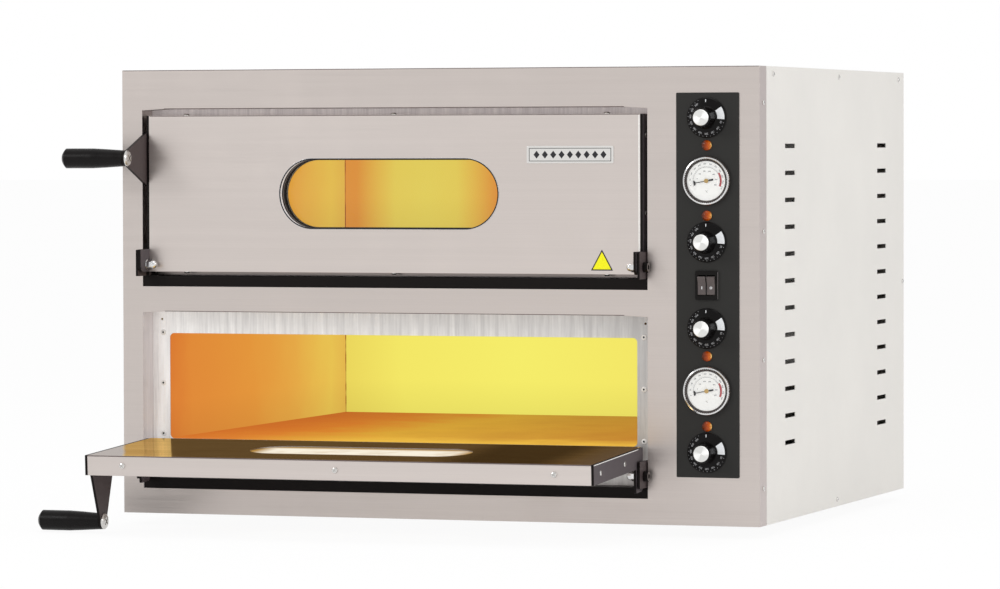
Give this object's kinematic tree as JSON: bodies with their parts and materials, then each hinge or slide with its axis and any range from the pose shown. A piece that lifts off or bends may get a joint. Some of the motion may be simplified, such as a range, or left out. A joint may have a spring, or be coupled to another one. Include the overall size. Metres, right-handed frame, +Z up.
{
  "type": "countertop pizza oven",
  "caption": "Two-deck electric pizza oven for a worktop, with drop-down glazed doors, hearth stones, a column of control knobs, temperature gauges, signal lamps and a rocker switch.",
  "frame": {"origin": "centre of the cabinet's footprint on the surface it stands on, which is also the centre of the four bolt holes through the feet", "axes": "+Z up, -Y out of the doors towards the user, +X to the user's right, where the controls are"},
  "size_m": [0.9601, 1.0027, 0.618],
  "materials": {
    "painted_cream": "satin",
    "black_paint": "satin",
    "brushed": "brushed",
    "zinc": "galvanised",
    "bronze_pan": "heat-tinted, mirror-like",
    "liner": "satin",
    "chrome": "polished",
    "grey_steel": "satin",
    "fascia": "satin",
    "black_plastic": "satin",
    "gloss_black": "gloss",
    "white_dial": "satin",
    "amber": "gloss",
    "grey_plastic": "satin",
    "glass": "clear",
    "stone": "rough fired clay",
    "wool": "soft mineral wool",
    "rubber": "matt",
    "brass": "satin"
  },
  "bodies": {
    "cabinet": {"base_pan": "zinc", "feet": "rubber", "front_panel": "brushed", "left_side_panel": "painted_cream", "right_side_panel": "painted_cream", "rear_panel": "painted_cream", "top_panel": "painted_cream", "bay_wall": "zinc", "cabinet_screws": "zinc", "control_fascia": "fascia", "upper_chamber_liner": "liner", "lower_chamber_liner": "liner", "upper_face_plate": "zinc", "lower_face_plate": "zinc", "face_plate_screws": "zinc", "hinge_rails": "black_paint", "hinge_brackets": "grey_steel", "hinge_bolts": "black_paint", "hinge_nuts": "chrome", "hearth_stones": "stone", "heating_elements": "grey_steel", "insulation": "wool", "oven_lamps": "glass", "thermostats": "black_plastic", "capillaries": "brass", "indicator_lamps": "amber", "gauge_cases": "chrome", "gauge_dials": "white_dial", "gauge_glasses": "glass", "switch_frame": "black_plastic", "terminal_block": "black_plastic", "cable_gland": "black_plastic", "bonding_stud": "brass"},
    "upper_door": {"upper_door_skin": "brushed", "upper_door_pan": "bronze_pan", "upper_door_insulation": "wool", "upper_door_glass": "glass", "upper_window_trim": "chrome", "upper_end_plates": "grey_steel", "upper_handle_bracket": "brushed", "upper_grip": "gloss_black", "upper_door_screws": "zinc", "nameplate": "brushed"},
    "lower_door": {"lower_door_skin": "brushed", "lower_door_pan": "bronze_pan", "lower_door_insulation": "wool", "lower_door_glass": "glass", "lower_window_trim": "chrome", "lower_end_plates": "grey_steel", "lower_handle_bracket": "brushed", "lower_grip": "gloss_black", "lower_door_screws": "zinc"},
    "upper_top_knob": {"upper_top_knob": "black_plastic"},
    "upper_floor_knob": {"upper_floor_knob": "black_plastic"},
    "lower_top_knob": {"lower_top_knob": "black_plastic"},
    "lower_floor_knob": {"lower_floor_knob": "black_plastic"},
    "upper_pointer": {"upper_pointer": "black_paint"},
    "lower_pointer": {"lower_pointer": "black_paint"},
    "left_rocker": {"left_rocker": "grey_plastic"},
    "right_rocker": {"right_rocker": "grey_plastic"}
  },
  "joints": [
    {"name": "upper_door_hinge", "type": "hinge", "parent": "cabinet", "child": "upper_door", "pos_m": [-0.062, -0.3921, 0.3548], "axis": [1, 0, 0], "range_deg": [0, 92.8]},
    {"name": "lower_door_hinge", "type": "hinge", "parent": "cabinet", "child": "lower_door", "pos_m": [-0.062, -0.3921, 0.0802], "axis": [1, 0, 0], "range_deg": [-92.8, 0]},
    {"name": "upper_top_knob_turn", "type": "hinge", "parent": "cabinet", "child": "upper_top_knob", "pos_m": [0.3787, -0.3965, 0.5506], "axis": [0, 1, 0], "range_deg": [0, 285]},
    {"name": "upper_floor_knob_turn", "type": "hinge", "parent": "cabinet", "child": "upper_floor_knob", "pos_m": [0.3787, -0.3965, 0.3879], "axis": [0, 1, 0], "range_deg": [0, 285]},
    {"name": "lower_top_knob_turn", "type": "hinge", "parent": "cabinet", "child": "lower_top_knob", "pos_m": [0.3787, -0.3965, 0.2749], "axis": [0, 1, 0], "range_deg": [0, 285]},
    {"name": "lower_floor_knob_turn", "type": "hinge", "parent": "cabinet", "child": "lower_floor_knob", "pos_m": [0.3787, -0.3965, 0.1122], "axis": [0, 1, 0], "range_deg": [0, 285]},
    {"name": "upper_pointer_turn", "type": "hinge", "parent": "cabinet", "child": "upper_pointer", "pos_m": [0.3787, -0.3855, 0.468], "axis": [0, 1, 0], "range_deg": [-10, 211]},
    {"name": "lower_pointer_turn", "type": "hinge", "parent": "cabinet", "child": "lower_pointer", "pos_m": [0.3787, -0.3855, 0.193], "axis": [0, 1, 0], "range_deg": [-10, 211]},
    {"name": "left_rocker_tilt", "type": "hinge", "parent": "cabinet", "child": "left_rocker", "pos_m": [0.3725, -0.3825, 0.3314], "axis": [1, 0, 0], "range_deg": [-16, 0]},
    {"name": "right_rocker_tilt", "type": "hinge", "parent": "cabinet", "child": "right_rocker", "pos_m": [0.3849, -0.3825, 0.3314], "axis": [1, 0, 0], "range_deg": [-16, 0]}
  ]
}
